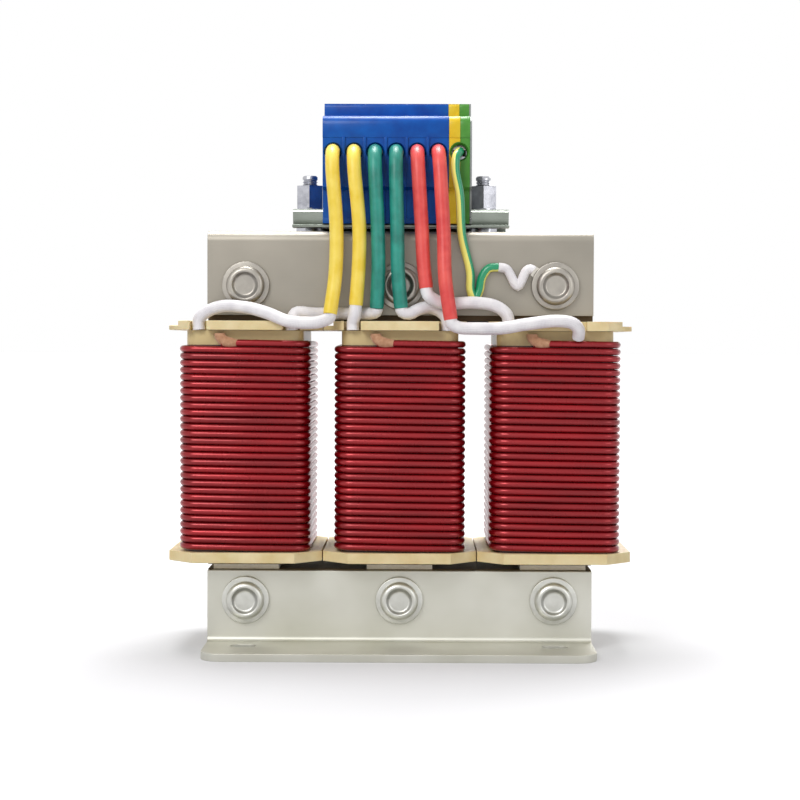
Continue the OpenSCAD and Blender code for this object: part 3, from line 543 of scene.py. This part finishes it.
def rounded_copy(node_name, piece_name, edge, material, segments=2):
    """The solid of a CAD node with its moulded or sheared edges rounded over."""
    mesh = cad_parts[node_name].data.copy()
    mesh.name = piece_name
    made = bpy.data.objects.new(piece_name, mesh)
    bpy.context.collection.objects.link(made)
    pick(made)
    bpy.ops.object.mode_set(mode='EDIT')
    bpy.ops.mesh.select_all(action='SELECT')
    bpy.ops.mesh.remove_doubles(threshold=0.000005)
    bpy.ops.mesh.dissolve_limited(angle_limit=math.radians(0.5))
    bpy.ops.object.mode_set(mode='OBJECT')
    round_edges(made, edge, segments, 50)
    # The large flat sides are lit as flat, and only the rounded edges turn.
    flat = made.modifiers.new("flat_sides", 'WEIGHTED_NORMAL')
    flat.weight = 100
    flat.keep_sharp = True
    bpy.ops.object.modifier_apply(modifier="flat_sides")
    made.data.materials.clear()
    made.data.materials.append(material)
    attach(made, "frame")
    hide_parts(node_name)


for name in ("left", "middle", "right"):
    rounded_copy(f"bobbin_{name}", f"moulded_bobbin_{name}", MOULDED_EDGE,
                 bobbin_nylon)

# --- Brackets -----------------------------------------------------------------
# A channel over the top yoke and two angle feet along the bottom one, folded
# from 3 mm zinc-plated steel sheet and clamped by the bolts through the core.
SHEET_EDGE = 0.0005
ROLLED_LINES = (0.0006, 2, (0.03, 1, 1))

# Zinc-plated mild steel, folded: pale warm grey, satin, with the fine lines of
# the rolled sheet along the length and soft clouds in the plating.
folded_sheet = dict(clouds=(0.030,), bumps=ROLLED_LINES, height=0.00001,
                    gloss=(0.42, 0.52, *ROLLED_LINES), Metallic=0.85)
# The channel's copy is darker and warmer than the feet's, as painted shade: both are the same
# sheet.
shaded_channel_zinc = clouded("zinc-plated sheet, painted shade", "#8E897F", "#9C968B", **folded_sheet)
foot_zinc = clouded("zinc-plated sheet", "#BFBEB2", "#CFCEC5", **folded_sheet)
rounded_copy("top_channel", "folded_channel", SHEET_EDGE, shaded_channel_zinc)
rounded_copy("front_foot", "folded_front_foot", SHEET_EDGE, foot_zinc)
rounded_copy("rear_foot", "folded_rear_foot", SHEET_EDGE, foot_zinc)

# --- Clamp bolts --------------------------------------------------------------
# M8 bolts with low domed heads and broad washers in front, nuts behind, in
# insulating sleeves through the core. The upper right one holds the earth lug.
BOLT_COLUMNS = {"left": -0.060, "middle": 0, "right": 0.060}
BOLT_ROWS = {"lower": 0.0193, "upper": 0.1418}
BRACKET_Y = 0.024  # outer face of the brackets, in front and behind
LUG_T = 0.0008
WASHER_R = 0.00925
WASHER_T = 0.0016
WASHER_RIM = 0.0004
REAR_WASHER_RIM = 0.0002
HEAD_R = 0.0074
HEAD_RISE = 0.0032
DOME = 0.0021
# The dish in the top of a head: the width and depth of its slope and of its floor's edge.
DISH = ((0.0012, -0.00015), (0.0003, 0.0001))
SHANK_IN_HEAD = 0.0006
BOLT_END_Y = 0.034
# Diameter, length of thread, pitch and depth of thread.
BOLT_THREAD = (0.008, 0.022, 0.00125, 0.0007)

# Zinc-plated steel, formed: bright grey, satin, with soft clouds in the plating.
formed_steel = dict(clouds=(0.004,), bumps=(0.0006,), height=0.00001, gloss=(0.34, 0.46, 0.0015),
                    Metallic=0.85)
bolt_zinc = clouded("zinc-plated fastener steel", "#BDBDB6", "#CECEC8", **formed_steel)
# The upper row's copy is darker, as painted shade like the channel it sits on; both rows are the
# same steel.
shaded_bolt_zinc = clouded("zinc-plated fastener steel, painted shade", "#96918A", "#A6A198", **formed_steel)
thread_zinc = clouded("zinc-plated rolled thread", "#B4B2AB", "#CBC9C3", clouds=(0.003,),
                      bumps=(0.0006,), height=0.00001, Metallic=0.9, Roughness=0.38)
bolt_finishes = {"lower": bolt_zinc, "upper": shaded_bolt_zinc}


def threaded(name, foot, tip, diameter, thread_length, pitch, depth):
    """A round bar from foot to tip, with a thread on its last thread_length."""
    foot, tip = Vector(foot), Vector(tip)
    length = (tip - foot).length
    root_d = diameter - 2 * depth
    # Each turn of the thread goes from its crest down to a narrow root and up
    # again, and the tip is cut down to the root.
    rings = [(0, diameter), (max(0.001, length - thread_length), diameter)]
    while rings[-1][0] < length - 1.6 * pitch:
        crest = rings[-1][0]
        rings += [(crest + 0.45 * pitch, root_d), (crest + 0.55 * pitch, root_d),
                  (crest + pitch, diameter)]
    rings += [(length - 0.5 * pitch, diameter), (length, root_d)]
    return tube(name, [foot.lerp(tip, at / length) for at, _ in rings], [d for _, d in rings], 32)


def placed(made):
    """The object's place, turn and size go into its mesh."""
    pick(made)
    bpy.ops.object.transform_apply(location=True, rotation=True, scale=True)


def pick_faces(made, wanted):
    """In edit mode with only the faces that are wanted picked, by their middle and normal."""
    bpy.ops.object.mode_set(mode='EDIT')
    bpy.ops.mesh.select_mode(type='FACE')
    bpy.ops.mesh.select_all(action='DESELECT')
    bpy.ops.object.mode_set(mode='OBJECT')
    for face in made.data.polygons:
        face.select = wanted(face.center, face.normal)
    bpy.ops.object.mode_set(mode='EDIT')


def turned_disc(name, radius, length, at, rim, segments, axis='Y', sides=64):
    """A round bar or disc from the middle of its foot, at, towards the front or up.

    Its far rim is rounded over by rim.
    """
    turn = (math.radians(90), 0, 0) if axis == 'Y' else (0, 0, 0)
    ahead = Vector((0, -1, 0)) if axis == 'Y' else Vector((0, 0, 1))
    bpy.ops.object.select_all(action='DESELECT')
    bpy.ops.mesh.primitive_cylinder_add(vertices=sides, radius=radius, depth=length,
                                        location=Vector(at) + ahead * length / 2, rotation=turn)
    made = bpy.context.object
    made.name = made.data.name = name
    placed(made)
    pick_faces(made, lambda middle, normal: normal.dot(ahead) > 0.9)
    bpy.ops.mesh.bevel(offset=rim, segments=segments, affect='EDGES', clamp_overlap=True)
    bpy.ops.object.mode_set(mode='OBJECT')
    bpy.ops.object.shade_smooth_by_angle(angle=math.radians(35))
    return made


for row, bolt_z in BOLT_ROWS.items():
    for column, bolt_x in BOLT_COLUMNS.items():
        where = f"{row}_{column}"
        seat = -BRACKET_Y - (LUG_T if where == "upper_right" else 0)
        washer = turned_disc(f"washer_{where}", WASHER_R, WASHER_T, (bolt_x, seat, bolt_z),
                             WASHER_RIM, 3)
        rear_washer = turned_disc(f"rear_washer_{where}", WASHER_R, WASHER_T,
                                  (bolt_x, BRACKET_Y + WASHER_T, bolt_z), REAR_WASHER_RIM, 2)
        for ring in (washer, rear_washer):
            ring.data.materials.append(bolt_finishes[row])
            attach(ring, "frame")
            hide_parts("clamp_washers")

        seat -= WASHER_T
        head = turned_disc(f"bolt_{where}", HEAD_R, HEAD_RISE, (bolt_x, seat, bolt_z), DOME, 8)
        pick_faces(head, lambda middle, normal: normal.y < -0.99 and middle.y < seat - DOME)
        for thickness, depth in DISH:
            bpy.ops.mesh.inset(thickness=thickness, depth=depth)
        bpy.ops.object.mode_set(mode='OBJECT')
        head.data.materials.append(bolt_finishes[row])
        shank = threaded(f"bolt_shank_{where}", (bolt_x, seat - SHANK_IN_HEAD, bolt_z),
                         (bolt_x, BOLT_END_Y, bolt_z), *BOLT_THREAD)
        shank.data.materials.append(thread_zinc)
        pick(head, shank)
        bpy.ops.object.join()
        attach(head, "frame")
        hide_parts("clamp_bolts")

finish_node("clamp_nuts", bolt_zinc)
# Resin-bonded paper tube: brown, half gloss.
bolt_paper = clouded("resin-bonded paper tube", "#7A5A34", "#94703F", clouds=(0.002,),
                     bumps=(0.0008,), height=0.00002, Roughness=0.5)
finish_node("bolt_sleeves", bolt_paper)

# --- Rail ---------------------------------------------------------------------
# A 35 mm top-hat mounting rail of passivated steel, held 1.8 mm above the
# channel by spacers, two studs and two tall nuts.
RAIL_EDGE = 0.00025
NUT_EDGE = 0.0005
RAIL_LINES = (0.0007, 2, (0.03, 1, 1))
STUD_HEAD_R = 0.0041
STUD_HEAD_RISE = 0.0025
STUD_HEAD_RIM = 0.0004
# Diameter, length of thread, pitch and depth of thread.
STUD_THREAD = (0.006, 0.0205, 0.001, 0.0004)

# Passivated zinc on cold-rolled strip: grey with a green-yellow cast, drawn lines.
rail_zinc = clouded("passivated zinc strip", "#767C74", "#8E948B", clouds=(0.015,),
                    bumps=RAIL_LINES, height=0.00001, gloss=(0.22, 0.34, *RAIL_LINES),
                    Metallic=0.9)
rounded_copy("din_rail", "mounting_rail", RAIL_EDGE, rail_zinc)

# Bright zinc on turned steel: near mirror, a little cloudy, brighter than the sheet.
bright_zinc = clouded("bright zinc-plated steel", "#A6A7AE", "#C6C7CE", clouds=(0.003,),
                      bumps=(0.0008,), height=0.00001, gloss=(0.16, 0.28, 0.0012), Metallic=1)
stud_zinc = clouded("bright zinc-plated rolled thread", "#A9AAB0", "#C4C5CA", clouds=(0.003,),
                    bumps=(0.0008,), height=0.00001, Metallic=1, Roughness=0.26)
rounded_copy("rail_nuts", "tall_rail_nuts", NUT_EDGE, bright_zinc, 3)

# The M6 studs: a flat head pressed into the channel's web from below, a plain
# shank through spacer and rail, and a thread that stands 4 mm out of the nut.
studs_low, studs_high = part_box("rail_studs")
for number, stud_x in enumerate((studs_low[0] + STUD_HEAD_R, studs_high[0] - STUD_HEAD_R), 1):
    stud = threaded(f"rail_stud_{number}", (stud_x, 0, studs_low[2]), (stud_x, 0, studs_high[2]),
                    *STUD_THREAD)
    stud_head = turned_disc(f"rail_stud_head_{number}", STUD_HEAD_R, STUD_HEAD_RISE,
                            (stud_x, 0, studs_low[2]), STUD_HEAD_RIM, 2, 'Z', 32)
    pick(stud, stud_head)
    bpy.ops.object.join()
    stud.data.materials.append(stud_zinc)
    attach(stud, "frame")
    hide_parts("rail_studs")
finish_node("rail_spacers", bright_zinc)

# --- Terminal strip -----------------------------------------------------------
# Six feed-through terminals and an earth terminal moulded in polyamide, clipped
# on the rail side by side, with an end plate that closes the last one.
PLASTIC_EDGE = 0.00012
FIRST_TERMINAL_X = -0.0264
TERMINAL_PITCH = 0.0082
TERMINAL_FACE_Y = 0.0212

# Moulded polyamide: satin, faint flow clouds and a fine spark-eroded grain.
moulded = dict(clouds=(0.006,), bumps=(0.0004,), height=0.00002, gloss=(0.28, 0.4, 0.002),
               Specular_IOR_Level=0.28)
blue_polyamide = clouded("blue polyamide", "#00449A", "#0059B4", **moulded)
yellow_polyamide = clouded("yellow polyamide", "#E2BC20", "#EFCE38", **moulded)
green_polyamide = clouded("green polyamide", "#43872F", "#579A41", **moulded)
grey_polyamide = clouded("grey polyamide", "#8E9290", "#A4A8A6", **moulded)
rounded_copy("phase_terminals", "terminal_strip", PLASTIC_EDGE, blue_polyamide)
rounded_copy("earth_terminal_yellow", "earth_terminal_body", PLASTIC_EDGE,
             yellow_polyamide)
rounded_copy("earth_terminal_green", "earth_terminal_cover", PLASTIC_EDGE,
             green_polyamide)
finish_node("end_plate", grey_polyamide)

# Marker covers snapped along the strip: a round-shouldered bar on its top and
# one along each front and rear edge, each as long as the bodies it covers.
# Each cover's depth and height, the radius of its shoulders, and the side they
# face: -1 the front, 1 the rear, 0 both.
COVERS = {
    "front": ((-0.0215, -0.0163), (0.1994, 0.2082), 0.0036, -1),
    "rear": ((0.0163, 0.0215), (0.1994, 0.2082), 0.0036, 1),
    "top": ((-0.0063, 0.0063), (0.2092, 0.2146), 0.0014, 0),
}
cover_spans = {
    "blue": (-0.0305, 0.01868, blue_polyamide),
    "yellow": (0.01875, 0.02305, yellow_polyamide),
    "green": (0.02308, 0.0269, green_polyamide),
}


def cover_bar(name, from_x, to_x, depth, height, shoulder, facing):
    """A bar along the strip, its upper edges on the faced sides rounded to a shoulder."""
    bpy.ops.object.select_all(action='DESELECT')
    bpy.ops.mesh.primitive_cube_add(
        size=1, location=((from_x + to_x) / 2, sum(depth) / 2, sum(height) / 2),
        scale=(to_x - from_x, depth[1] - depth[0], height[1] - height[0]))
    bar = bpy.context.object
    bar.name = bar.data.name = name
    placed(bar)
    bpy.ops.object.mode_set(mode='EDIT')
    bpy.ops.mesh.select_mode(type='EDGE')
    bpy.ops.mesh.select_all(action='DESELECT')
    bpy.ops.object.mode_set(mode='OBJECT')
    near = 0.0001
    for edge in bar.data.edges:
        a, b = (bar.data.vertices[i].co for i in edge.vertices)
        on_top = min(a.z, b.z) > height[1] - near
        faced = facing == 0 or a.y * facing > max(abs(depth[0]), abs(depth[1])) - near
        edge.select = on_top and faced and abs(a.y - b.y) < near
    bpy.ops.object.mode_set(mode='EDIT')
    bpy.ops.mesh.bevel(offset=shoulder, segments=6, affect='EDGES')
    bpy.ops.object.mode_set(mode='OBJECT')
    round_edges(bar, PLASTIC_EDGE, 2, 60)
    return bar


for colour, (from_x, to_x, material) in cover_spans.items():
    for place_name, cover in COVERS.items():
        bar = cover_bar(f"marker_cover_{place_name}_{colour}", from_x, to_x, *cover)
        bar.data.materials.append(material)
        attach(bar, "frame")

# Guide ribs between the wire entries, one on each joint of two blue terminals:
# thin fins that run out into the face below the entries.
RIB_W = 0.0011
RIB_TOP = 0.1996
RIB_FOOT = 0.1815
RIB_PROUD = 0.0009
RIB_EDGE = 0.0003
RIB_FOOT_SHARES = (0.5, 0.15, 1)  # of the width and of how far it stands out
for joint in range(5):
    rib_x = FIRST_TERMINAL_X + TERMINAL_PITCH * (joint + 0.5)
    for place_name, facing in (("front", -1), ("rear", 1)):
        bpy.ops.object.select_all(action='DESELECT')
        bpy.ops.mesh.primitive_cube_add(
            size=1, scale=(RIB_W, RIB_PROUD, RIB_TOP - RIB_FOOT),
            location=(rib_x, facing * (TERMINAL_FACE_Y + RIB_PROUD / 2), (RIB_TOP + RIB_FOOT) / 2))
        rib = bpy.context.object
        rib.name = rib.data.name = f"guide_rib_{place_name}_{joint + 1}"
        placed(rib)
        pick_faces(rib, lambda middle, normal: normal.z < -0.9)
        bpy.ops.transform.resize(value=RIB_FOOT_SHARES,
                                 center_override=(rib_x, facing * TERMINAL_FACE_Y, RIB_FOOT))
        bpy.ops.object.mode_set(mode='OBJECT')
        round_edges(rib, RIB_EDGE, 3, 50)
        rib.data.materials.append(blue_polyamide)
        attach(rib, "frame")

# Tinned copper: pale, soft, half bright.
tinned = clouded("tinned copper", "#C9C4BA", "#DDD8CE", clouds=(0.002,), bumps=(0.0005,),
                 height=0.00001, gloss=(0.28, 0.4, 0.001), Metallic=1)
finish_node("current_bars", tinned)
finish_node("conductor_ends", tinned)

# --- Clamping screws and cages ------------------------------------------------
# Two slotted steel screws in each terminal, each drawing a cage up against the
# current bar when it is turned.
for number in range(1, 8):
    for row in ("front", "rear"):
        finish_node(f"{row}_screw_{number}", bright_zinc)
        finish_node(f"{row}_clamp_{number}", bright_zinc)

# --- Table and light ----------------------------------------------------------
# A plain white table in white surroundings, under soft studio lamps.
TABLE_SIZE = 60
SURROUNDINGS = 0.28  # how bright the white studio is as a light on the object
# The table looks white by itself from FAR on. Near the object only NEAR_GLOW of
# that is there, so that the object's shadow shows.
NEAR, FAR = 0.12, 0.7
NEAR_GLOW = 0.3

bpy.ops.object.select_all(action='DESELECT')
bpy.ops.mesh.primitive_plane_add(size=TABLE_SIZE, location=(0, 0, 0))
table = bpy.context.object
table.name = table.data.name = "table"


def looked_at(owner):
    """1 where the camera sees it, straight or by way of metal or glass, and 0 as a light."""
    ray = add_node(owner, "ShaderNodeLightPath")
    either = add_node(owner, "ShaderNodeMath",
                      {0: ray.outputs["Is Camera Ray"], 1: ray.outputs["Is Glossy Ray"]},
                      operation='MAXIMUM')
    any_way = add_node(owner, "ShaderNodeMath",
                       {0: either.outputs[0], 1: ray.outputs["Is Transmission Ray"]},
                       operation='MAXIMUM')
    return any_way.outputs[0]


# Matt white board. What the camera, metal or glass sees of it is near white,
# and the object's shadow stays on it.
white_board, surface = new_material("matt white board", Base_Color=linear("#AEAEB0"),
                                    Roughness=0.9, Specular_IOR_Level=0.1)
place = add_node(white_board, "ShaderNodeTexCoord")
away = add_node(white_board, "ShaderNodeVectorMath", {0: place.outputs["Object"]},
                operation='LENGTH')
share = add_node(white_board, "ShaderNodeMapRange",
                 {"Value": away.outputs["Value"], "From Min": NEAR, "From Max": FAR,
                  "To Min": NEAR_GLOW, "To Max": 1})
strength = add_node(white_board, "ShaderNodeMath",
                    {0: looked_at(white_board), 1: share.outputs["Result"]}, operation='MULTIPLY')
glow = add_node(white_board, "ShaderNodeEmission",
                {"Color": (1, 1, 1, 1), "Strength": strength.outputs[0]})
add_node(white_board, "ShaderNodeAddShader", {0: surface.outputs[0], 1: glow.outputs[0]},
         feeds={0: white_board.node_tree.nodes["Material Output"].inputs["Surface"]})
table.data.materials.append(white_board)

world = bpy.data.worlds.new("studio")
world.use_nodes = True
bpy.context.scene.world = world
background = world.node_tree.nodes["Background"]
background.inputs["Color"].default_value = (1, 1, 1, 1)
add_node(world, "ShaderNodeMapRange",
         {"Value": looked_at(world), "To Min": SURROUNDINGS, "To Max": 1},
         feeds={"Result": background.inputs["Strength"]})

# Each lamp's place and the place it faces, its side in metres and its power in watts.
lamps = {
    "key_lamp": ((-0.55, -1.0, 0.9), (0, 0, 0.1), 0.6, 10),
    "top_lamp": ((-0.05, 0.3, 1.15), (0, 0, 0.02), 0.5, 15),
    "fill_lamp": ((1.0, -0.9, 0.5), (0, 0, 0.1), 0.6, 3),
    "rear_lamp": ((0.4, 1.1, 0.8), (0, 0, 0.1), 0.7, 8),
}
for name, (at, faced, size, power) in lamps.items():
    bpy.ops.object.light_add(type='AREA', location=at)
    lamp = bpy.context.object
    lamp.name = name
    lamp.data.size = size
    lamp.data.energy = power
    lamp.rotation_euler = (Vector(faced) - Vector(at)).to_track_quat('-Z', 'Y').to_euler()

bpy.context.scene.view_settings.view_transform = 'Standard'
